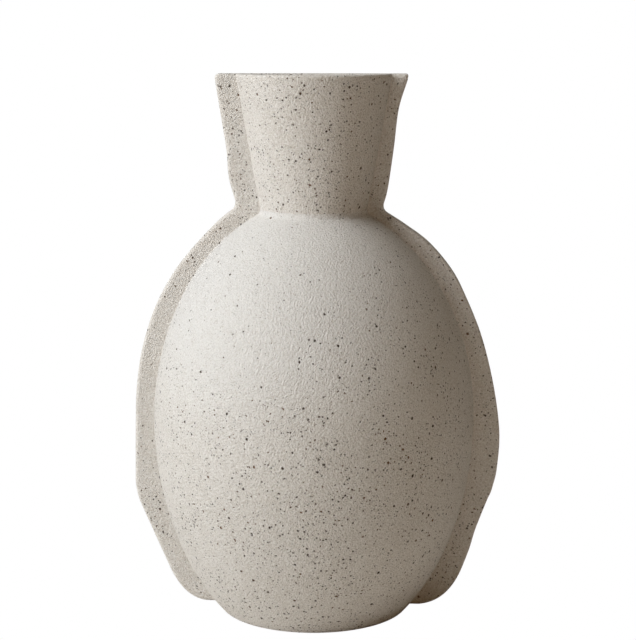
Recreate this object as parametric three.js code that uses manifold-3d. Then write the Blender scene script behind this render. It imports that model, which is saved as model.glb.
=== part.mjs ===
// A flat-backed stoneware vase, slab built: one flat back slab whose hand-cut edges stand out
// as a wing on each side, and a half-round body and neck joined to its front face.
//
// Millimetres. +Z up. X runs across the wings and -Y is the rounded front.
// The origin is on the foot plane, on the axis of the half-round body, where that axis lies in
// the back slab's front face.

import * as THREE from "three";
import { mergeVertices } from "three/addons/utils/BufferGeometryUtils.js";
import Module from "manifold-3d";

const wasm = await Module();
wasm.setup();

// ---- driving dimensions --------------------------------------------------------------------

const HEIGHT = 240; // foot to rim

// Half-round body: an egg, an ellipse below its widest level and a little straighter above it.
const BODY_RADIUS = 71.5;
const BODY_WIDEST_Z = 88.1;
const BODY_RISE = 97.1; // semi-axis above the widest level
const BODY_DROP = 108.1; // semi-axis below it, cut off by the foot plane
const SHOULDER_POWER = 1.08; // above the widest level: 1 is an ellipse, and more is straighter
const BODY_WALL = 5;

// Half-round neck: a straight cone, open at the top.
const NECK_BASE_RADIUS = 23.2;
const RIM_RADIUS = 34.2;
const NECK_WALL = 4.5;
const LIP_ROUND = 1.2; // rounding on the outer and inner edge of the rim

// Back slab.
const SLAB_THICKNESS = 8;
const SLAB_EDGE_ROUND = 1.6;

// Base slab: the floor, inside the body shell.
const BASE_THICKNESS = 6;

// Joints.
const SLIP_GAP = 0.3; // clearance that the joining slip fills
const TONGUE = 3; // how far a front piece's back edge is let into the back slab
const LAP_HEIGHT = 2; // spigot under the neck, inside the body's opening
const LAP_WALL = 2.1; // thickness of that spigot
const COIL = 3.4; // side of the clay coil pressed into each inside corner
const COIL_STOP = 8.5; // how far below the neck's seat the body's coils end

// Facets.
const ROUND_STEPS = 64; // round the full axis
const EGG_STEPS = 20; // along the egg's outline
const OUTLINE_STEPS = 5; // along each curve of the slab's outline

// ---- derived dimensions --------------------------------------------------------------------

// Angle up an egg smaller than the body's by `inset`, from its widest level to height z.
function eggAngle(z, inset) {
  const semi = (z > BODY_WIDEST_Z ? BODY_RISE : BODY_DROP) - inset;
  return Math.asin(Math.max(-1, Math.min(1, (z - BODY_WIDEST_Z) / semi)));
}

// Radius and height of that egg at an angle.
function eggPoint(angle, inset) {
  const semi = (angle > 0 ? BODY_RISE : BODY_DROP) - inset;
  const power = angle > 0 ? SHOULDER_POWER : 1;
  return [(BODY_RADIUS - inset) * Math.cos(angle) ** power, BODY_WIDEST_Z + semi * Math.sin(angle)];
}

function eggRadius(z, inset = 0) {
  return eggPoint(eggAngle(z, inset), inset)[0];
}

// Height at which the egg's upper half has the given radius.
function eggHeight(radius, inset = 0) {
  const across = (radius / (BODY_RADIUS - inset)) ** (1 / SHOULDER_POWER);
  return BODY_WIDEST_Z + (BODY_RISE - inset) * Math.sqrt(1 - across * across);
}

const NECK_SEAT_Z = eggHeight(NECK_BASE_RADIUS);
const NECK_BORE_RADIUS = NECK_BASE_RADIUS - NECK_WALL;
const LAP_RADIUS = NECK_BORE_RADIUS + LAP_WALL;
const RIM_BORE_RADIUS = RIM_RADIUS - NECK_WALL;

// ---- solids --------------------------------------------------------------------------------

function toSolid(geometry) {
  const bare = geometry.clone();
  bare.deleteAttribute("normal");
  bare.deleteAttribute("uv");
  const merged = mergeVertices(bare, 1e-4);
  const mesh = new wasm.Mesh({
    numProp: 3,
    vertProperties: new Float32Array(merged.attributes.position.array),
    triVerts: new Uint32Array(merged.index.array),
  });
  return new wasm.Manifold(mesh);
}

function toGeometry(solid) {
  const mesh = solid.getMesh();
  const geometry = new THREE.BufferGeometry();
  const position = new THREE.BufferAttribute(new Float32Array(mesh.vertProperties), 3);
  geometry.setAttribute("position", position);
  geometry.setIndex(new THREE.BufferAttribute(new Uint32Array(mesh.triVerts), 1));
  geometry.computeVertexNormals();
  return geometry;
}

// A box between two corners, as a solid.
function boxBetween(low, high) {
  const box = new THREE.BoxGeometry(high[0] - low[0], high[1] - low[1], high[2] - low[2]);
  const middle = low.map((value, i) => (value + high[i]) / 2);
  return toSolid(box.translate(...middle));
}

// A solid of revolution about Z from [radius, height] pairs, listed anticlockwise with radius
// to the right. A ring's list closes on itself.
function turned(outline) {
  const points = outline.map(([radius, height]) => new THREE.Vector2(radius, height));
  return toSolid(new THREE.LatheGeometry(points, ROUND_STEPS).rotateX(Math.PI / 2));
}

function turnedRing(outline) {
  return turned([...outline, outline[0]]);
}

const FAR = 2 * HEIGHT;

// What lies in front of the plane y = back, and behind the plane y = front.
function between(solid, front, back) {
  return solid.intersect(boxBetween([-FAR, front, -FAR], [FAR, back, FAR]));
}

// Points on the egg's outline from one height to another, closer together where it curves in.
function eggOutline(fromZ, toZ, inset) {
  const start = eggAngle(fromZ, inset);
  const end = eggAngle(toZ, inset);
  const points = [];
  for (let i = 0; i <= EGG_STEPS; i += 1) {
    points.push(eggPoint(start + ((end - start) * i) / EGG_STEPS, inset));
  }
  return points;
}

// ---- body shell ----------------------------------------------------------------------------

// The full-round body, thickened by `grow` on every side. Its opening has a ledge for the neck.
function roundBody(grow) {
  const seat = NECK_SEAT_Z + grow;
  const ledge = NECK_SEAT_Z - LAP_HEIGHT - SLIP_GAP;
  const bore = NECK_BORE_RADIUS - grow;
  const inside = eggOutline(eggHeight(bore, BODY_WALL + grow), -grow, BODY_WALL + grow);
  return turnedRing([
    ...eggOutline(-grow, eggHeight(NECK_BASE_RADIUS + grow, -grow), -grow),
    [NECK_BASE_RADIUS, seat],
    [LAP_RADIUS + SLIP_GAP, seat],
    [LAP_RADIUS + SLIP_GAP, ledge],
    [bore, ledge],
    ...inside,
  ]);
}

function bodyShell() {
  return between(roundBody(0), -FAR, TONGUE);
}

// ---- neck shell ----------------------------------------------------------------------------

// The full-round neck, with a spigot under it that drops inside the body's opening.
function roundNeck(grow) {
  const foot = NECK_SEAT_Z - LAP_HEIGHT;
  return turnedRing([
    [LAP_RADIUS + grow, foot],
    [LAP_RADIUS + grow, NECK_SEAT_Z],
    [NECK_BASE_RADIUS + grow, NECK_SEAT_Z],
    [RIM_RADIUS + grow, HEIGHT - LIP_ROUND],
    [RIM_RADIUS + grow - LIP_ROUND, HEIGHT],
    [RIM_BORE_RADIUS - grow + LIP_ROUND, HEIGHT],
    [RIM_BORE_RADIUS - grow, HEIGHT - LIP_ROUND],
    [NECK_BORE_RADIUS - grow, NECK_SEAT_Z],
    [NECK_BORE_RADIUS - grow, foot],
  ]);
}

function neckShell() {
  return between(roundNeck(0), -FAR, TONGUE);
}

// ---- base slab -----------------------------------------------------------------------------

// A disc whose bevelled edge rests in the body's inward-sloping wall.
function roundBase(grow) {
  const clear = BODY_WALL + SLIP_GAP;
  return turned([
    [0, -grow],
    [eggRadius(0, clear) + grow, -grow],
    [eggRadius(BASE_THICKNESS, clear) + grow, BASE_THICKNESS + grow],
    [0, BASE_THICKNESS + grow],
  ]);
}

function baseSlab() {
  return between(roundBase(0), -FAR, TONGUE);
}

// ---- back slab -----------------------------------------------------------------------------

const at = (x, z) => new THREE.Vector2(x, z);

// The outline as cut by hand, so its two wings differ: an even curve and a plumb edge on the
// left, two shallow hollows and a fuller flank on the right.
function slabOutline() {
  const outline = new THREE.Shape();
  // left foot, lower edge and corner
  outline.moveTo(-48, 0);
  outline.quadraticCurveTo(-59, 0, -65.8, 14.4);
  outline.lineTo(-79.3, 45.6);
  outline.quadraticCurveTo(-81.4, 50.6, -81.6, 56.5);
  outline.splineThru([
    at(-81.2, 78), at(-80.5, 98), at(-78, 116), at(-72.5, 134), at(-64.2, 150), at(-55.1, 162), at(-44, 174),
  ]);
  outline.quadraticCurveTo(-40.3, 177.5, -36.9, 179.9);
  outline.quadraticCurveTo(-34.5, 181.6, -35.1, 184.6);
  outline.splineThru([at(-37.8, 194.8), at(-38.7, 205.9), at(-40.9, 219.9), at(-43.7, 237.7)]);
  outline.lineTo(-43.8, HEIGHT);
  outline.lineTo(41.3, HEIGHT);
  outline.lineTo(40.7, 236.8);
  outline.splineThru([at(36.9, 224.3), at(34.9, 206.9), at(32.5, 189.7), at(30.8, 183.3)]);
  outline.quadraticCurveTo(30.2, 180.6, 32.3, 179.2);
  outline.splineThru([
    at(40.4, 174), at(51, 166), at(61.1, 154), at(67.4, 142), at(74.6, 124), at(80.3, 102),
    at(83.3, 80.8), at(82.4, 64), at(80.7, 56),
  ]);
  outline.quadraticCurveTo(80, 52.9, 78.6, 50.4);
  outline.splineThru([at(73.3, 36.3), at(70.4, 26.2), at(66.8, 16.4)]);
  outline.quadraticCurveTo(60.4, 1.2, 47.8, 0);
  outline.closePath();
  return outline;
}

function backSlab() {
  const plate = new THREE.ExtrudeGeometry(slabOutline(), {
    depth: SLAB_THICKNESS - 2 * SLAB_EDGE_ROUND,
    bevelThickness: SLAB_EDGE_ROUND,
    bevelSize: SLAB_EDGE_ROUND,
    bevelOffset: -SLAB_EDGE_ROUND,
    bevelSegments: 2,
    curveSegments: OUTLINE_STEPS,
  });
  plate.translate(0, 0, SLAB_EDGE_ROUND).rotateX(Math.PI / 2).translate(0, SLAB_THICKNESS, 0);
  const slab = toSolid(plate);
  const grooves = roundBody(SLIP_GAP).add(roundNeck(SLIP_GAP)).add(roundBase(SLIP_GAP));
  return slab.subtract(between(grooves, -TONGUE, TONGUE + SLIP_GAP));
}

// ---- seam coils ----------------------------------------------------------------------------

const COIL_CLEAR = 0.2; // from the walls that the coil is pressed against

// The inside corner strip between a shell and the back slab, on one side (-1 left, 1 right).
function cornerStrip(ring, side) {
  const strip = between(ring, -COIL, -COIL_CLEAR);
  const half = side < 0 ? [-FAR, 0] : [0, FAR];
  return strip.intersect(boxBetween([half[0], -FAR, -FAR], [half[1], FAR, FAR]));
}

function bodySeamCoil(side) {
  const low = BASE_THICKNESS + COIL + COIL_CLEAR;
  const high = NECK_SEAT_Z - COIL_STOP;
  const ring = turnedRing([
    ...eggOutline(low, high, BODY_WALL + COIL_CLEAR),
    ...eggOutline(high, low, BODY_WALL + COIL),
  ]);
  return cornerStrip(ring, side);
}

function neckSeamCoil(side) {
  const low = NECK_SEAT_Z;
  const high = HEIGHT - COIL;
  const slope = (RIM_RADIUS - NECK_BASE_RADIUS) / (HEIGHT - LIP_ROUND - NECK_SEAT_Z);
  const bore = (z) => NECK_BORE_RADIUS + slope * (z - NECK_SEAT_Z);
  const ring = turnedRing([
    [bore(low) - COIL_CLEAR, low],
    [bore(high) - COIL_CLEAR, high],
    [bore(high) - COIL, high],
    [bore(low) - COIL, low],
  ]);
  return cornerStrip(ring, side);
}

// Round the floor's curved edge and along its straight one.
function baseSeamCoil() {
  const low = BASE_THICKNESS + COIL_CLEAR;
  const high = BASE_THICKNESS + COIL;
  const reach = eggRadius(low, BODY_WALL) - COIL_CLEAR;
  const ring = turnedRing([
    [reach, low],
    [reach, high],
    [reach - COIL, high],
    [reach - COIL, low],
  ]);
  const curved = between(ring, -FAR, -COIL_CLEAR);
  const straight = boxBetween([COIL - reach, -COIL, low], [reach - COIL, -COIL_CLEAR, high]);
  return curved.add(straight);
}

// ---- the vase ------------------------------------------------------------------------------

const speckledStoneware = { color: 0xd9d1c6, roughness: 0.82, metalness: 0 };
const bareStoneware = { color: 0xc9bda9, roughness: 0.93, metalness: 0 };

const vase = new THREE.Group();

function addPiece(name, solid, finish) {
  const piece = new THREE.Mesh(toGeometry(solid), new THREE.MeshStandardMaterial(finish));
  piece.name = name;
  vase.add(piece);
}

addPiece("back_slab", backSlab(), speckledStoneware);
addPiece("body_shell", bodyShell(), speckledStoneware);
addPiece("neck_shell", neckShell(), speckledStoneware);
addPiece("base_slab", baseSlab(), bareStoneware);
addPiece("base_seam_coil", baseSeamCoil(), bareStoneware);
for (const [label, side] of [["left", -1], ["right", 1]]) {
  addPiece(`${label}_body_seam_coil`, bodySeamCoil(side), bareStoneware);
  addPiece(`${label}_neck_seam_coil`, neckSeamCoil(side), bareStoneware);
}

export default vase;
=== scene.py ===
"""Looks of the flat-backed stoneware vase, built around its CAD model.

Lengths are millimetres in the frame's axes until a mesh is made, then metres: +Z up, X across the
wings, -Y towards the rounded front. The round body's axis is X = Y = 0, in the slab's front face.
"""
import math

import bmesh
import bpy
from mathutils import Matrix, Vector, geometry, noise


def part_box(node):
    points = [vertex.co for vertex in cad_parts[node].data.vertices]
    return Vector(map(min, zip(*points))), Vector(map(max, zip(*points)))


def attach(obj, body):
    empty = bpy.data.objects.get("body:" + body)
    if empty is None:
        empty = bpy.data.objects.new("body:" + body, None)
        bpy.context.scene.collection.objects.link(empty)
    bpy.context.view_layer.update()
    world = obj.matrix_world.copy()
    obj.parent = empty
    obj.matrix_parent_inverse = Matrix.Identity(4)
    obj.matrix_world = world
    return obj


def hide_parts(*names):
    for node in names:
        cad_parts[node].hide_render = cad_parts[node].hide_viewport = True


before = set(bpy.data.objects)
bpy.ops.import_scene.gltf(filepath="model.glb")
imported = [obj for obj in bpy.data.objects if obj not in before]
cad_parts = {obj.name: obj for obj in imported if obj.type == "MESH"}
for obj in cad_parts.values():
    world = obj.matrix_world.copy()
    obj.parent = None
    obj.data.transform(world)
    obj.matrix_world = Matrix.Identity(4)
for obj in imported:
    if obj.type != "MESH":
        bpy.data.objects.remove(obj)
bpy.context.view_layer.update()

MM = 0.001

# ---- sizes -----------------------------------------------------------------------------------


def node_box(node):
    """Lowest and highest corner of a CAD node, in millimetres."""
    return [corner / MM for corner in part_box(node)]


body_low, body_high = node_box("body_shell")
neck_low = node_box("neck_shell")[0]
slab_high = node_box("back_slab")[1]
base_high = node_box("base_slab")[1]

HEIGHT = slab_high.z
SLAB_THICKNESS = slab_high.y
SLAB_EDGE_ROUND = 1.8
LEFT_TIP_ROUND = 2.0  # the slab's corners at the rim, seen from the front
RIGHT_TIP_ROUND = 1.1
WING_LEAN = 0.17  # forward lean of the right wing at its shoulder, per mm outside the body
LEAN_START = (112, 150)  # heights over which that lean sets in
LEAN_END = (188, 176)  # and over which it is gone again, from the top down

BODY_RADIUS = -body_low.y
BODY_WIDEST_Z = 88.1
BODY_RISE = 97.1  # semi-axis of the egg above its widest level
BODY_DROP = 108.1  # and below it
SHOULDER_POWER = 1.08  # above the widest level: 1 is an ellipse, and more is straighter
BODY_WALL = 5.0
FOOT_ROUND = 1.0  # rounding of the outer edge at the foot

NECK_SEAT_Z = body_high.z
NECK_BASE_RADIUS = 23.2
RIM_RADIUS = -neck_low.y
NECK_WALL = 4.5
LIP_ROUND = 1.5  # rounding of the rim's outer and inner edge
NECK_BORE = NECK_BASE_RADIUS - NECK_WALL  # inner radius at the neck's foot
LAP_HEIGHT = NECK_SEAT_Z - neck_low.z  # spigot under the neck, inside the body's opening
LAP_WALL = 2.1

BASE_THICKNESS = base_high.z
BASE_BEVEL = 0.4
JOINT_GAP = 0.3  # clearance round the lap and the floor
SEAM_FILLET = 0.3  # slip smoothed into the corner between a shell and the slab
NECK_FILLET = 2.3  # and round the foot of the neck
FEATHER = (0.02, 0.3)  # depth in the neck of the outer and inner side of its thin upper edge
BURIED = 0.3  # how far a piece's hidden edge sits inside its neighbour
COIL = 3.4  # side of the clay coil smoothed into each inside corner
COIL_START = 1.0  # how far above the floor the body's upright coils begin
COIL_STOP = 8.0  # and how far below the neck's seat they end

# ---- fineness of the meshes ------------------------------------------------------------------

SPLINE_STEPS = 12  # between two of the points that a curve is drawn through
EGG_STEPS = 150  # up the outside of the body
EGG_INSIDE_STEPS = 80
BODY_HALF_STEPS = 96  # from the slab's face to the front of the body
NECK_HALF_STEPS = 72
DISC_STEPS = 96  # round the floor
ROUND_STEPS = 8  # along a small rounding
FILLET_STEPS = 10  # along the fillet round the neck's foot
EDGE_STEPS = 7  # along a quarter of the slab's rounded edge
COIL_STEPS = 6  # along a coil's hollow
UPRIGHT_COIL_STEPS = 60
FACE_SPACING = 3.5  # of the points on the slab's flat faces
NECK_SPACING = 1.5
COIL_SPACING = 2.0
SHARP_ANGLE = 38  # degrees between two faces that keep a crisp edge
WELD = 1e-6  # metres within which two points are one
SLIVER = 1e-7  # metres below which an edge is dropped

# ---- outlines --------------------------------------------------------------------------------


def quadratic(start, control, end, steps):
    """Points of a quadratic curve after its start."""
    points = []
    for i in range(1, steps + 1):
        t = i / steps
        a, b, c = (1 - t) ** 2, 2 * t * (1 - t), t * t
        points.append(tuple(a * s + b * m + c * e for s, m, e in zip(start, control, end)))
    return points


def spline(start, *through):
    """Points of a Catmull-Rom curve after its start, through each of the given points."""
    knots = [start, *through]
    points = []
    for i in range(len(knots) - 1):
        p0, p1 = knots[max(i - 1, 0)], knots[i]
        p2, p3 = knots[i + 1], knots[min(i + 2, len(knots) - 1)]
        for step in range(1, SPLINE_STEPS + 1):
            t = step / SPLINE_STEPS
            point = []
            for a, b, c, d in zip(p0, p1, p2, p3):
                v0, v1 = (c - a) / 2, (d - b) / 2
                cubic = (2 * b - 2 * c + v0 + v1) * t ** 3
                square = (-3 * b + 3 * c - 2 * v0 - v1) * t ** 2
                point.append(cubic + square + v0 * t + b)
            points.append(tuple(point))
    return points


def straight(start, end, spacing=3.0):
    """Evenly spaced points of a straight line after its start."""
    count = max(1, round(math.dist(start, end) / spacing))
    return [tuple(s + (e - s) * i / count for s, e in zip(start, end)) for i in range(1, count + 1)]


def slab_outline():
    """The slab's hand-cut outline in X and Z, clockwise from the left foot, as in the CAD slab."""
    out = [(-48.0, 0.0)]
    out += quadratic(out[-1], (-59, 0), (-65.8, 14.4), 14)
    out += straight(out[-1], (-79.3, 45.6))
    out += quadratic(out[-1], (-81.4, 50.6), (-81.6, 56.5), 10)
    shoulder = [(-81.2, 78), (-80.5, 98), (-78, 116), (-72.5, 134), (-64.2, 150), (-55.1, 162), (-44, 174)]
    out += spline(out[-1], *shoulder)
    out += quadratic(out[-1], (-40.3, 177.5), (-36.9, 179.9), 8)
    out += quadratic(out[-1], (-34.5, 181.6), (-35.1, 184.6), 8)
    out += spline(out[-1], (-37.8, 194.8), (-38.7, 205.9), (-40.9, 219.9), (-43.7, 237.7))
    left_tip = len(out)
    out.append((-43.8, HEIGHT))
    out += straight(out[-1], (41.3, HEIGHT))
    right_tip = len(out) - 1
    out += straight(out[-1], (40.7, 236.8))
    out += spline(out[-1], (36.9, 224.3), (34.9, 206.9), (32.5, 189.7), (30.8, 183.3))
    out += quadratic(out[-1], (30.2, 180.6), (32.3, 179.2), 8)
    shoulder = [(40.4, 174), (51, 166), (61.1, 154), (67.4, 142), (74.6, 124), (80.3, 102)]
    out += spline(out[-1], *shoulder, (83.3, 80.8), (82.4, 64), (80.7, 56))
    out += quadratic(out[-1], (80, 52.9), (78.6, 50.4), 8)
    out += spline(out[-1], (73.3, 36.3), (70.4, 26.2), (66.8, 16.4))
    out += quadratic(out[-1], (60.4, 1.2), (47.8, 0), 16)
    out += straight(out[-1], out[0])[:-1]
    return out, {left_tip: LEFT_TIP_ROUND, right_tip: RIGHT_TIP_ROUND}


def egg_angle(z, inset):
    """Angle up the egg, set in by inset, from its widest level to height z."""
    semi = (BODY_RISE if z > BODY_WIDEST_Z else BODY_DROP) - inset
    return math.asin(max(-1.0, min(1.0, (z - BODY_WIDEST_Z) / semi)))


def egg_point(angle, inset):
    """Radius and height of that egg at an angle."""
    semi = (BODY_RISE if angle > 0 else BODY_DROP) - inset
    power = SHOULDER_POWER if angle > 0 else 1.0
    return (BODY_RADIUS - inset) * math.cos(angle) ** power, BODY_WIDEST_Z + semi * math.sin(angle)


def egg_radius(z, inset=0.0):
    return egg_point(egg_angle(z, inset), inset)[0]


def egg_height(radius, inset=0.0):
    """Height at which the egg's upper half has this radius."""
    across = (radius / (BODY_RADIUS - inset)) ** (1 / SHOULDER_POWER)
    return BODY_WIDEST_Z + (BODY_RISE - inset) * math.sqrt(1 - across ** 2)


def egg_line(from_z, to_z, inset, steps):
    """Radius and height along the egg, closer together where it curves in."""
    start, end = egg_angle(from_z, inset), egg_angle(to_z, inset)
    return [egg_point(start + (end - start) * i / steps, inset) for i in range(steps + 1)]


def cone_radius(z):
    slope = (RIM_RADIUS - NECK_BASE_RADIUS) / (HEIGHT - NECK_SEAT_Z)
    return NECK_BASE_RADIUS + slope * (z - NECK_SEAT_Z)


# ---- meshes ----------------------------------------------------------------------------------

WOBBLE = 0.2  # how far the hand-formed clay strays from the drawn shape
WOBBLE_LENGTH = 46.0
WOBBLE_SEED = 1  # the noise draws its own from the clock unless it is given one
CALM = 10.0  # within this distance of foot and rim the wobble dies away
RIM_SHARE = 0.35  # of it is left at the rim, and none at the foot, which stays flat

noise.seed_set(WOBBLE_SEED)


def settle(point):
    """A point of the drawn shape, moved as the clay strayed, in metres."""
    x, y, z = point
    stray = noise.noise_vector(Vector((x, y, z)) / WOBBLE_LENGTH)
    calm = min(1.0, max(0.0, z / CALM)) * min(1.0, max(0.0, (HEIGHT - z) / CALM + RIM_SHARE))
    return (Vector((x, y, z)) + stray * (WOBBLE * calm)) * MM


def make_piece(name, vertices, faces):
    """A closed mesh object from points in millimetres."""
    mesh = bpy.data.meshes.new(name)
    mesh.from_pydata([settle(v) for v in vertices], [], faces)
    work = bmesh.new()
    work.from_mesh(mesh)
    bmesh.ops.remove_doubles(work, verts=work.verts, dist=WELD)
    bmesh.ops.dissolve_degenerate(work, edges=work.edges, dist=SLIVER)
    bmesh.ops.recalc_face_normals(work, faces=work.faces)
    work.to_mesh(mesh)
    work.free()
    mesh.shade_smooth()
    mesh.set_sharp_from_angle(angle=math.radians(SHARP_ANGLE))
    piece = bpy.data.objects.new(name, mesh)
    bpy.context.scene.collection.objects.link(piece)
    return piece


def skin(name, loops, ring=False):
    """A closed piece from equal loops of points: joined in order, and capped or closed on itself."""
    size = len(loops[0])
    vertices = [point for loop in loops for point in loop]
    faces = side_faces(len(loops), size, ring)
    if not ring:
        last = (len(loops) - 1) * size
        faces += [tuple(range(size)), tuple(last + k for k in reversed(range(size)))]
    return make_piece(name, vertices, faces)


def side_faces(count, size, ring=False):
    """Quads between each loop and the next, as numbers into the loops' points one after another."""
    faces = []
    for i in range(count if ring else count - 1):
        here, there = i * size, (i + 1) % count * size
        for k in range(size):
            n = (k + 1) % size
            faces.append((here + k, here + n, there + n, there + k))
    return faces


# distances from the slab, closer together where the slip curves most
SEAM_STEPS = [SEAM_FILLET * share for share in (0, 0.04, 0.13, 0.27, 0.46, 0.7, 1)]


def seam_flare(distance):
    """How far slip widens a shell at this distance in front of the slab: a quarter round."""
    if distance >= SEAM_FILLET:
        return 0.0
    return SEAM_FILLET - math.sqrt(SEAM_FILLET ** 2 - (SEAM_FILLET - distance) ** 2)


def half_turned(name, section, steps):
    """Turns a closed section of (radius, height, flared) points half round the front.

    A flared point widens where it nears the slab. The two end faces are buried in the slab.
    """
    rows = []
    for radius, height, widens in section:
        near = [math.asin(step / radius) for step in SEAM_STEPS]
        half = near + [near[-1] + (math.pi / 2 - near[-1]) * (i + 1) / steps for i in range(steps)]
        row = []
        for angle in half + [math.pi - angle for angle in reversed(half[:-1])]:
            depth = radius * math.sin(angle)
            wide = radius + (seam_flare(depth) if widens else 0.0)
            row.append((wide * math.cos(angle), -depth, height))
        row.insert(0, (row[0][0], BURIED, height))
        row.append((row[-1][0], BURIED, height))
        rows.append(row)
    return skin(name, [list(loop) for loop in zip(*rows)])


def quarter_angles(steps):
    """Angles from 0 to a quarter turn."""
    return [math.radians(90 * i / steps) for i in range(steps + 1)]


def flared(points):
    return [(radius, height, True) for radius, height in points]


def plain(points):
    return [(radius, height, False) for radius, height in points]


def make_body_shell():
    foot = egg_radius(0)
    start = (foot - FOOT_ROUND, 0.0)
    turn_in = (egg_radius(FOOT_ROUND), FOOT_ROUND)
    outside = [start] + quadratic(start, (foot, 0.0), turn_in, ROUND_STEPS)
    fillet_radius = NECK_BASE_RADIUS + NECK_FILLET
    outside += egg_line(FOOT_ROUND, egg_height(fillet_radius), 0.0, EGG_STEPS)[1:]
    feather = NECK_SEAT_Z + NECK_FILLET
    feather_out, feather_in = (cone_radius(feather) - inset for inset in FEATHER)
    seat = (NECK_BASE_RADIUS, NECK_SEAT_Z)
    outside += quadratic(outside[-1], seat, (feather_out, feather), FILLET_STEPS)
    lap = NECK_BORE + LAP_WALL + JOINT_GAP
    ledge = NECK_SEAT_Z - LAP_HEIGHT - JOINT_GAP
    inside = [(feather_in, feather), (lap, NECK_SEAT_Z), (lap, ledge), (NECK_BORE, ledge)]
    inside += egg_line(egg_height(NECK_BORE, BODY_WALL), 0.0, BODY_WALL, EGG_INSIDE_STEPS)
    return half_turned("body_shell_stoneware", flared(outside) + plain(inside), BODY_HALF_STEPS)


def make_neck_shell():
    lap = NECK_BORE + LAP_WALL
    foot = NECK_SEAT_Z - LAP_HEIGHT
    lip = HEIGHT - LIP_ROUND
    outside = [(lap, foot), (lap, NECK_SEAT_Z), (NECK_BASE_RADIUS, NECK_SEAT_Z)]
    outside += straight(outside[-1], (cone_radius(lip), lip), NECK_SPACING)
    rolled_out = (RIM_RADIUS - LIP_ROUND, HEIGHT)
    outside += quadratic(outside[-1], (RIM_RADIUS, HEIGHT), rolled_out, ROUND_STEPS)
    rim_bore = RIM_RADIUS - NECK_WALL
    rolled_in = (cone_radius(lip) - NECK_WALL, lip)
    inside = [(rim_bore + LIP_ROUND, HEIGHT)]
    inside += quadratic(inside[-1], (rim_bore, HEIGHT), rolled_in, ROUND_STEPS)
    inside += straight(inside[-1], (NECK_BORE, NECK_SEAT_Z), NECK_SPACING)
    inside += [(NECK_BORE, foot)]
    return half_turned("neck_shell_stoneware", flared(outside) + plain(inside), NECK_HALF_STEPS)


def half_disc(radius, back, height):
    """The outline of a half disc whose straight edge lies `back` behind the slab's face."""
    start = math.asin(-back / radius)
    points = []
    for i in range(DISC_STEPS + 1):
        angle = start + (math.pi - 2 * start) * i / DISC_STEPS
        points.append((radius * math.cos(angle), -radius * math.sin(angle), height))
    return points


def make_base_slab():
    clear = BODY_WALL + JOINT_GAP
    low, high = egg_radius(0, clear), egg_radius(BASE_THICKNESS, clear)
    levels = [(low - BASE_BEVEL, 0.0), (low, BASE_BEVEL), (high, BASE_THICKNESS)]
    return skin("base_slab_stoneware", [half_disc(radius, BURIED, z) for radius, z in levels])


def inset_paths(outline, tips):
    """For each outline point, a function that gives its place once the outline is inset by a distance.

    A tip's corner is rounded: its points close in on the centre of the round, then follow the mitre.
    """
    paths = []
    for i, point in enumerate(outline):
        before, after = outline[i - 1], outline[(i + 1) % len(outline)]
        first, second = edge_normal(before, point), edge_normal(point, after)
        share = 1 + first.dot(second)
        mitre = (first + second) / share
        corner = Vector(point)
        if i not in tips:
            paths.append(lambda inset, p=corner, m=mitre: p + m * inset)
            continue
        radius = tips[i]
        centre = corner + mitre * radius
        for step in range(ROUND_STEPS + 1):
            away = -(first.lerp(second, step / ROUND_STEPS)).normalized()

            def path(inset, centre=centre, away=away, mitre=mitre, radius=radius):
                if inset < radius:
                    return centre + away * (radius - inset)
                return centre + mitre * (inset - radius)

            paths.append(path)
    return paths


def ease(value, low, high):
    """0 at low and 1 at high, with a smooth rise between."""
    share = min(1.0, max(0.0, (value - low) / (high - low)))
    return share * share * (3 - 2 * share)


def lean(x, z):
    """How far forward the right wing leans at its shoulder."""
    beyond = max(0.0, x - egg_radius(z))
    return WING_LEAN * beyond * ease(z, *LEAN_START) * ease(z, *LEAN_END)


def edge_normal(start, end):
    """The unit normal of a clockwise outline's edge that points into the outline."""
    along = (Vector(end) - Vector(start)).normalized()
    return Vector((along.y, -along.x))


def make_back_slab():
    outline, tips = slab_outline()
    paths = inset_paths(outline, tips)
    insets = []
    for angle in quarter_angles(EDGE_STEPS):
        inset, depth = 1 - math.sin(angle), 1 - math.cos(angle)
        insets.append((SLAB_EDGE_ROUND * inset, SLAB_EDGE_ROUND * depth))
    levels = insets + [(inset, SLAB_THICKNESS - depth) for inset, depth in reversed(insets)]
    rings = []
    for inset, y in levels:
        places = [path(inset) for path in paths]
        rings.append([(place.x, y, place.y) for place in places])
    count = len(paths)
    vertices = [point for ring in rings for point in ring]
    faces = side_faces(len(rings), count)
    for ring in (rings[0], rings[-1]):
        edge = [Vector((x, z)) for x, _, z in ring]
        loop = [(k, (k + 1) % count) for k in range(count)]
        points = edge + grid_inside(edge, FACE_SPACING)
        found = geometry.delaunay_2d_cdt(points, loop, [list(range(count))], 1, 1e-6)
        base = len(vertices)
        vertices += [(p.x, ring[0][1], p.y) for p in found[0]]
        faces += [tuple(base + v for v in face) for face in found[2]]
    leaning = [(x, y - lean(x, z), z) for x, y, z in vertices]
    return make_piece("back_slab_stoneware", leaning, faces)


def grid_inside(edge, spacing):
    """Points of a square grid that lie inside a polygon, clear of its edge."""
    low_z, high_z = min(p.y for p in edge), max(p.y for p in edge)
    points = []
    z = low_z + spacing
    while z < high_z - spacing / 2:
        crossings = []
        for a, b in zip(edge, edge[1:] + edge[:1]):
            if (a.y > z) != (b.y > z):
                crossings.append(a.x + (z - a.y) * (b.x - a.x) / (b.y - a.y))
        left, right = min(crossings) + spacing / 2, max(crossings) - spacing / 2
        steps = max(1, round((right - left) / spacing))
        points += [Vector((left + (right - left) * i / steps, z)) for i in range(steps + 1)]
        z += spacing
    return points


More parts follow.
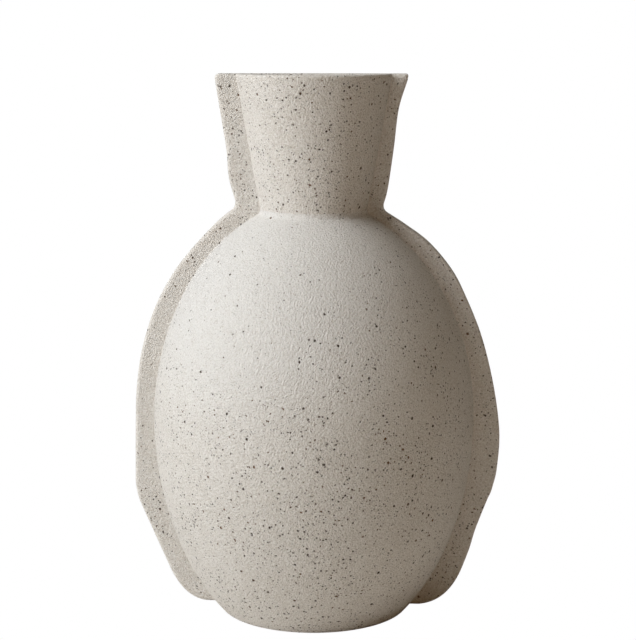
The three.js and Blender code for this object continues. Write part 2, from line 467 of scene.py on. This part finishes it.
def corner_coil(name, line, side):
    """A coil smoothed into the upright corner between the slab and a shell's inner wall."""
    loops = []
    for radius, height in line:
        loop = [(radius - COIL, BURIED), (radius + BURIED, BURIED), (radius + BURIED, -COIL)]
        for angle in quarter_angles(COIL_STEPS):
            loop.append((radius - COIL + COIL * math.cos(angle), COIL * math.sin(angle) - COIL))
        loops.append([(side * x, y, height) for x, y in loop])
    return skin(name, loops)


def make_base_coil():
    """The coil smoothed into the corner all round the floor."""
    reach = egg_radius(BASE_THICKNESS, BODY_WALL)
    low = BASE_THICKNESS - JOINT_GAP
    levels = [(-BURIED, low), (COIL, low)]
    for angle in quarter_angles(COIL_STEPS):
        levels.append((COIL - COIL * math.sin(angle), low + COIL - COIL * math.cos(angle)))
    levels.append((-BURIED, low + COIL))
    loops = [half_disc(reach - inset, -inset, height) for inset, height in levels]
    return skin("base_coil_clay", loops, ring=True)


# ---- materials -------------------------------------------------------------------------------

RAGGED_LENGTH = 0.8  # length of the waves in an iron grain's ragged edge, in mm
RAGGED_PUSH = 0.9  # and the most by which they move it
GRID_TURN = (0.6, 0.9, 0.4)  # turns every noise away from the vase's own axes, in radians
OFFSET_WAY = (1.0, -0.7, 1.3)  # the way along which one noise is moved from another


class Graph:
    """A small helper for building one material's node tree."""

    def __init__(self, name):
        self.material = bpy.data.materials.new(name)
        self.material.use_nodes = True
        self.nodes = self.material.node_tree.nodes
        self.links = self.material.node_tree.links
        self.nodes.clear()
        self.where = self.add("ShaderNodeTexCoord").outputs["Object"]

    def add(self, kind, **settings):
        node = self.nodes.new(kind)
        for key, value in settings.items():
            setattr(node, key, value)
        return node

    def feed(self, socket, value):
        if isinstance(value, bpy.types.NodeSocket):
            self.links.new(value, socket)
        else:
            socket.default_value = value

    def maths(self, operation, *values):
        node = self.add("ShaderNodeMath", operation=operation)
        for socket, value in zip(node.inputs, values):
            self.feed(socket, value)
        return node.outputs[0]

    def noise(self, size_mm, detail=2.0, roughness=0.5, offset=0):
        """Soft noise from 0 to 1 whose blotches are about size_mm across."""
        node = self.add("ShaderNodeTexNoise")
        self.feed(node.inputs["Vector"], self.shift(offset))
        node.inputs["Scale"].default_value = 1 / (size_mm * MM)
        node.inputs["Detail"].default_value = detail
        node.inputs["Roughness"].default_value = roughness
        return node.outputs["Fac"]

    def ramp(self, value, low, high, to_low=0.0, to_high=1.0, smooth=True):
        """value from low..high to to_low..to_high, held at both ends."""
        node = self.add("ShaderNodeMapRange", clamp=True)
        node.interpolation_type = "SMOOTHSTEP" if smooth else "LINEAR"
        for socket, given in zip(node.inputs, (value, low, high, to_low, to_high)):
            self.feed(socket, given)
        return node.outputs[0]

    def mix(self, factor, a, b):
        """Colour a where factor is 0, b where it is 1."""
        node = self.add("ShaderNodeMix", data_type="RGBA")
        self.feed(node.inputs["Factor"], factor)
        self.feed(node.inputs["A"], a)
        self.feed(node.inputs["B"], b)
        return node.outputs["Result"]

    def shift(self, offset_mm):
        """The place on the vase, moved so that one noise doesn't repeat another.

        It is turned as well, so that no flat face lies along a noise's own grid.
        """
        node = self.add("ShaderNodeMapping")
        self.feed(node.inputs["Vector"], self.where)
        node.inputs["Location"].default_value = [offset_mm * part * MM for part in OFFSET_WAY]
        node.inputs["Rotation"].default_value = GRID_TURN
        return node.outputs[0]

    def ragged(self, offset_mm):
        """The shifted place again, pushed about a little so that round spots turn ragged."""
        push = self.add("ShaderNodeTexNoise")
        self.feed(push.inputs["Vector"], self.where)
        push.inputs["Scale"].default_value = 1 / (RAGGED_LENGTH * MM)
        scaled = self.add("ShaderNodeVectorMath", operation="MULTIPLY_ADD")
        self.feed(scaled.inputs[0], push.outputs["Color"])
        scaled.inputs[1].default_value = [RAGGED_PUSH * MM] * 3
        self.feed(scaled.inputs[2], self.shift(offset_mm))
        return scaled.outputs[0]

    def distance_mm(self, place_mm):
        """Distance from one place in the vase's frame."""
        node = self.add("ShaderNodeVectorMath", operation="DISTANCE")
        self.feed(node.inputs[0], self.where)
        node.inputs[1].default_value = [part * MM for part in place_mm]
        return self.maths("DIVIDE", node.outputs["Value"], MM)


SAND_PALE = (0.81, 0.78, 0.74, 1)
SAND_DEEP = (0.56, 0.51, 0.45, 1)
# painted highlight: the pale colour that the body's lit upper left is painted towards
HIGHLIGHT_PALE = (0.715, 0.692, 0.664, 1)
IRON_DARK = (0.050, 0.033, 0.020, 1)
IRON_RUSTY = (0.14, 0.07, 0.03, 1)

# sizes of the clay's features, in mm
PATCH_SIZE = 34
MOTTLE_SIZE = 6.5
SAND_SIZE = 0.62
GRIT_SIZE = 1.5
PEBBLE_SIZE = 0.8
CLUSTER_SIZE = 15
RUST_SIZE = 7
SLIP_AND_HIGHLIGHT_REACH = (28, 96)  # from the middle of the thick slip and the painted highlight: where both start to thin, and are gone

# how much each part of the relief stands out, and the depth of the whole in mm
PEBBLE_RELIEF = -0.45
GRIT_RELIEF = 0.15
IRON_RELIEF = -0.35
RELIEF_DEPTH = 0.6

SPOT_CORE = 0.7  # share of its radius over which an iron grain is full
SPOT_FADE = 1.15  # and at which it has faded out


def specks(graph, cell_mm, share, radii_mm, strengths, crowd, offset_mm):
    """Grains of iron in the clay, cut through by its surface: 1 inside a spot and 0 outside.

    The chance of a grain in a cell is `share` times crowd, which varies over the clay.
    """
    cells = graph.add("ShaderNodeTexVoronoi", feature="F1")
    graph.feed(cells.inputs["Vector"], graph.ragged(offset_mm))
    cells.inputs["Scale"].default_value = 1 / (cell_mm * MM)
    chance = graph.add("ShaderNodeSeparateColor")
    graph.feed(chance.inputs[0], cells.outputs["Color"])
    distance = graph.maths("MULTIPLY", cells.outputs["Distance"], cell_mm)
    present = graph.maths("LESS_THAN", chance.outputs[0], graph.maths("MULTIPLY", crowd, share))
    radius = graph.ramp(chance.outputs[1], 0.0, 1.0, *radii_mm, smooth=False)
    core = graph.maths("MULTIPLY", radius, SPOT_CORE)
    fade = graph.maths("MULTIPLY", radius, SPOT_FADE)
    spot = graph.ramp(distance, core, fade, 1.0, 0.0)
    strength = graph.ramp(chance.outputs[2], 0.0, 1.0, *strengths, smooth=False)
    return graph.maths("MULTIPLY", graph.maths("MULTIPLY", spot, present), strength)


def stoneware(name, base, pale, deep, density, roughness, slip_and_highlight_centre, painted_highlight):
    """Matt sandy clay with iron specks: base colour, paler sand grains and deeper warm patches.

    The slip is thickest round one place, where few grains show; there the last argument also paints the
    clay paler, with fainter sand, as a painted highlight on the lit side.
    """
    graph = Graph(name)
    base, pale, deep = (*base, 1), (*pale, 1), (*deep, 1)
    patches = graph.noise(PATCH_SIZE, detail=3.0)
    mottle = graph.noise(MOTTLE_SIZE, detail=3.0, roughness=0.6, offset=23)
    sand = graph.noise(SAND_SIZE, detail=1.5, roughness=0.6, offset=41)
    grit = graph.noise(GRIT_SIZE, detail=2.0, offset=57)
    beyond_slip_and_highlight = graph.ramp(graph.distance_mm(slip_and_highlight_centre), *SLIP_AND_HIGHLIGHT_REACH)

    # fainter sand under the painted highlight
    contrast = graph.ramp(beyond_slip_and_highlight, 0.0, 0.6, 1.0 - 0.3 * painted_highlight, 1.0)
    colour = graph.mix(graph.ramp(patches, 0.35, 0.68, 0.0, 0.5), base, deep)
    colour = graph.mix(graph.ramp(mottle, 0.42, 0.68, 0.0, 0.35), colour, pale)
    # painted highlight: the clay paled round one place, where the key light falls on the body
    colour = graph.mix(graph.ramp(beyond_slip_and_highlight, 0.0, 1.0, painted_highlight, 0.0), colour, HIGHLIGHT_PALE)
    light_sand = graph.maths("MULTIPLY", graph.ramp(sand, 0.48, 0.70), contrast)
    dark_sand = graph.maths("MULTIPLY", graph.ramp(sand, 0.48, 0.28), contrast)
    colour = graph.mix(light_sand, colour, SAND_PALE)
    colour = graph.mix(dark_sand, colour, SAND_DEEP)

    clusters = graph.ramp(graph.noise(CLUSTER_SIZE, detail=2.0, offset=73), 0.34, 0.64, 0.4, 1.2)
    crowd = graph.maths("MULTIPLY", clusters, graph.ramp(beyond_slip_and_highlight, 0.0, 1.0, 0.1, 1.05, smooth=False))
    dust = graph.maths("MULTIPLY", clusters, graph.ramp(beyond_slip_and_highlight, 0.0, 0.7, 0.25, 1.1, smooth=False))
    fine = specks(graph, 1.15, 0.68 * density, (0.15, 0.30), (0.4, 0.85), dust, 13)
    medium = specks(graph, 1.7, 0.68 * density, (0.26, 0.47), (0.85, 1.0), crowd, 171)
    coarse = specks(graph, 3.6, 0.62 * density, (0.42, 0.68), (0.9, 1.0), crowd, 377)
    dark = graph.maths("MAXIMUM", graph.maths("MAXIMUM", fine, medium), coarse)
    rust = graph.ramp(graph.noise(RUST_SIZE, offset=97), 0.5, 0.62)
    colour = graph.mix(dark, colour, graph.mix(rust, IRON_DARK, IRON_RUSTY))

    surface = graph.add("ShaderNodeNewGeometry")
    # paler on the sharp rounded edges: a little edge wear, and mostly a painted highlight along them
    edge_wear_and_highlight = graph.ramp(surface.outputs["Pointiness"], 0.515, 0.56, 0.0, 0.35)
    colour = graph.mix(edge_wear_and_highlight, colour, pale)

    shader = graph.add("ShaderNodeBsdfPrincipled")
    graph.feed(shader.inputs["Base Color"], colour)
    rough = graph.ramp(sand, 0.3, 0.7, roughness - 0.08, roughness + 0.06)
    graph.feed(shader.inputs["Roughness"], rough)
    shader.inputs["Specular IOR Level"].default_value = 0.28

    grains = graph.add("ShaderNodeTexVoronoi", feature="SMOOTH_F1")
    graph.feed(grains.inputs["Vector"], graph.shift(109))
    grains.inputs["Scale"].default_value = 1 / (PEBBLE_SIZE * MM)
    height = sand
    for part, relief in (
        (grains.outputs["Distance"], PEBBLE_RELIEF), (grit, GRIT_RELIEF), (dark, IRON_RELIEF)
    ):
        height = graph.maths("ADD", height, graph.maths("MULTIPLY", part, relief))
    bump = graph.add("ShaderNodeBump")
    bump.inputs["Strength"].default_value = 1.0
    bump.inputs["Distance"].default_value = RELIEF_DEPTH * MM
    graph.feed(bump.inputs["Height"], height)
    graph.feed(shader.inputs["Normal"], bump.outputs[0])
    output = graph.add("ShaderNodeOutputMaterial")
    graph.feed(output.inputs["Surface"], shader.outputs[0])
    return graph.material


# ---- the vase --------------------------------------------------------------------------------

# each clay's base colour, then a paler and a deeper one
CLAY = ((0.70, 0.660, 0.612), (0.765, 0.735, 0.695), (0.635, 0.592, 0.538))
# a slightly warmer copy of the body's clay, for the slab and the neck: the extra warmth is painted warm
# bounce light
WING_CLAY_WARMED = ((0.706, 0.660, 0.608), (0.77, 0.733, 0.690), (0.642, 0.592, 0.534))
BARE_CLAY = ((0.56, 0.50, 0.43), (0.66, 0.61, 0.54), (0.44, 0.38, 0.31))
# the body is painted paler round its lit upper left, a painted highlight, with fewer grains there as in
# the clay
front_clay = stoneware("body_stoneware", *CLAY, 1.0, 0.84, (-22, -42, 158), 0.9)
# the slab's and neck's warmer copy of the clay: painted warm bounce light
wing_clay_warmed = stoneware("wing_stoneware_warmed", *WING_CLAY_WARMED, 0.85, 0.84, (-95, 0, 130), 0.0)
bare_clay = stoneware("bare_stoneware", *BARE_CLAY, 0.6, 0.93, (0, 0, 300), 0.0)


def dress(piece, node, material):
    piece.data.materials.append(material)
    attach(piece, "root")
    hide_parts(node)


dress(make_back_slab(), "back_slab", wing_clay_warmed)
dress(make_body_shell(), "body_shell", front_clay)
dress(make_neck_shell(), "neck_shell", wing_clay_warmed)
dress(make_base_slab(), "base_slab", bare_clay)
dress(make_base_coil(), "base_seam_coil", bare_clay)

coil_foot, coil_top = BASE_THICKNESS + COIL_START, NECK_SEAT_Z - COIL_STOP
body_wall_line = egg_line(coil_foot, coil_top, BODY_WALL, UPRIGHT_COIL_STEPS)
neck_heights = [z for _, z in straight((0, NECK_SEAT_Z), (0, HEIGHT - COIL), COIL_SPACING)]
neck_wall_line = [(cone_radius(z) - NECK_WALL, z) for z in neck_heights]
for label, side in (("left", -1), ("right", 1)):
    coil = corner_coil(f"{label}_body_coil_clay", body_wall_line, side)
    dress(coil, f"{label}_body_seam_coil", bare_clay)
    coil = corner_coil(f"{label}_neck_coil_clay", neck_wall_line, side)
    dress(coil, f"{label}_neck_seam_coil", bare_clay)

# ---- floor, light and camera -----------------------------------------------------------------

FLOOR_HALF = 3.0  # metres from the middle of the floor to its edge
FLOOR_COLOUR = (0.80, 0.77, 0.72, 1)
WHITE = (1, 1, 1, 1)
LAMP_DISTANCE = 1.7  # metres from the middle of the vase


def make_floor():
    """A plain pale floor, whose light falls on the vase and which the camera sees as white."""
    mesh = bpy.data.meshes.new("studio_floor")
    sides = ((-1, -1), (1, -1), (1, 1), (-1, 1))
    corners = [(x * FLOOR_HALF, y * FLOOR_HALF, 0) for x, y in sides]
    mesh.from_pydata(corners, [], [(0, 1, 2, 3)])
    floor = bpy.data.objects.new("studio_floor", mesh)
    bpy.context.scene.collection.objects.link(floor)
    material = bpy.data.materials.new("studio_floor")
    material.use_nodes = True
    nodes, links = material.node_tree.nodes, material.node_tree.links
    nodes.clear()
    diffuse = nodes.new("ShaderNodeBsdfDiffuse")
    diffuse.inputs["Color"].default_value = FLOOR_COLOUR
    lit = nodes.new("ShaderNodeEmission")
    lit.inputs["Color"].default_value = WHITE
    path = nodes.new("ShaderNodeLightPath")
    blend = nodes.new("ShaderNodeMixShader")
    output = nodes.new("ShaderNodeOutputMaterial")
    links.new(path.outputs["Is Camera Ray"], blend.inputs[0])
    links.new(diffuse.outputs[0], blend.inputs[1])
    links.new(lit.outputs[0], blend.inputs[2])
    links.new(blend.outputs[0], output.inputs["Surface"])
    mesh.materials.append(material)


def make_world():
    """White behind the vase where the camera looks, and no light from the room itself."""
    world = bpy.data.worlds.new("studio")
    bpy.context.scene.world = world
    world.use_nodes = True
    nodes, links = world.node_tree.nodes, world.node_tree.links
    nodes.clear()
    room = nodes.new("ShaderNodeBackground")
    room.inputs["Strength"].default_value = 0.0
    white = nodes.new("ShaderNodeBackground")
    white.inputs["Color"].default_value = WHITE
    path = nodes.new("ShaderNodeLightPath")
    blend = nodes.new("ShaderNodeMixShader")
    output = nodes.new("ShaderNodeOutputWorld")
    links.new(path.outputs["Is Camera Ray"], blend.inputs[0])
    links.new(room.outputs[0], blend.inputs[1])
    links.new(white.outputs[0], blend.inputs[2])
    links.new(blend.outputs[0], output.inputs["Surface"])


def make_softbox(name, azimuth, elevation, width, height, power, colour):
    """A soft lamp that faces the vase. Azimuth 0 is in front, and positive is to the right."""
    light = bpy.data.lights.new(name, "AREA")
    light.shape = "RECTANGLE"
    light.size, light.size_y = width, height
    light.energy = power
    light.color = colour
    lamp = bpy.data.objects.new(name, light)
    bpy.context.scene.collection.objects.link(lamp)
    side, rise = math.radians(azimuth), math.radians(elevation)
    towards = Vector(
        (math.sin(side) * math.cos(rise), -math.cos(side) * math.cos(rise), math.sin(rise))
    )
    lamp.location = Vector((0, 0, HEIGHT / 2)) * MM + towards * LAMP_DISTANCE
    lamp.rotation_mode = "QUATERNION"
    lamp.rotation_quaternion = (-towards).to_track_quat("-Z", "Y")


def make_camera():
    """A long lens a little above the rim and slightly to the right of straight ahead."""
    data = bpy.data.cameras.new("camera")
    data.lens = 98.4
    data.sensor_width = 36
    camera = bpy.data.objects.new("camera", data)
    bpy.context.scene.collection.objects.link(camera)
    distance, height = 769.8, 255.4
    side, turn, tilt = math.radians(3.4), math.radians(3.266), math.radians(9.165)
    place = Vector((distance * math.sin(side), -distance * math.cos(side), height))
    camera.location = place * MM
    camera.rotation_euler = (math.pi / 2 - tilt, 0, turn)
    bpy.context.scene.camera = camera


make_floor()
make_world()
make_softbox("key_softbox", -62, 30, 1.1, 2.0, 36.4, (0.947, 0.973, 0.995))
make_softbox("top_softbox", -10, 80, 0.9, 0.9, 4.9, (1.0, 0.977, 0.90))
make_softbox("fill_softbox", 40, 8, 0.9, 0.9, 2.5, (1.0, 0.62, 0.28))
make_softbox("back_softbox", 180, 15, 0.9, 0.9, 7.0, (1.0, 0.97, 0.93))
make_camera()
bpy.context.scene.view_settings.view_transform = "Standard"
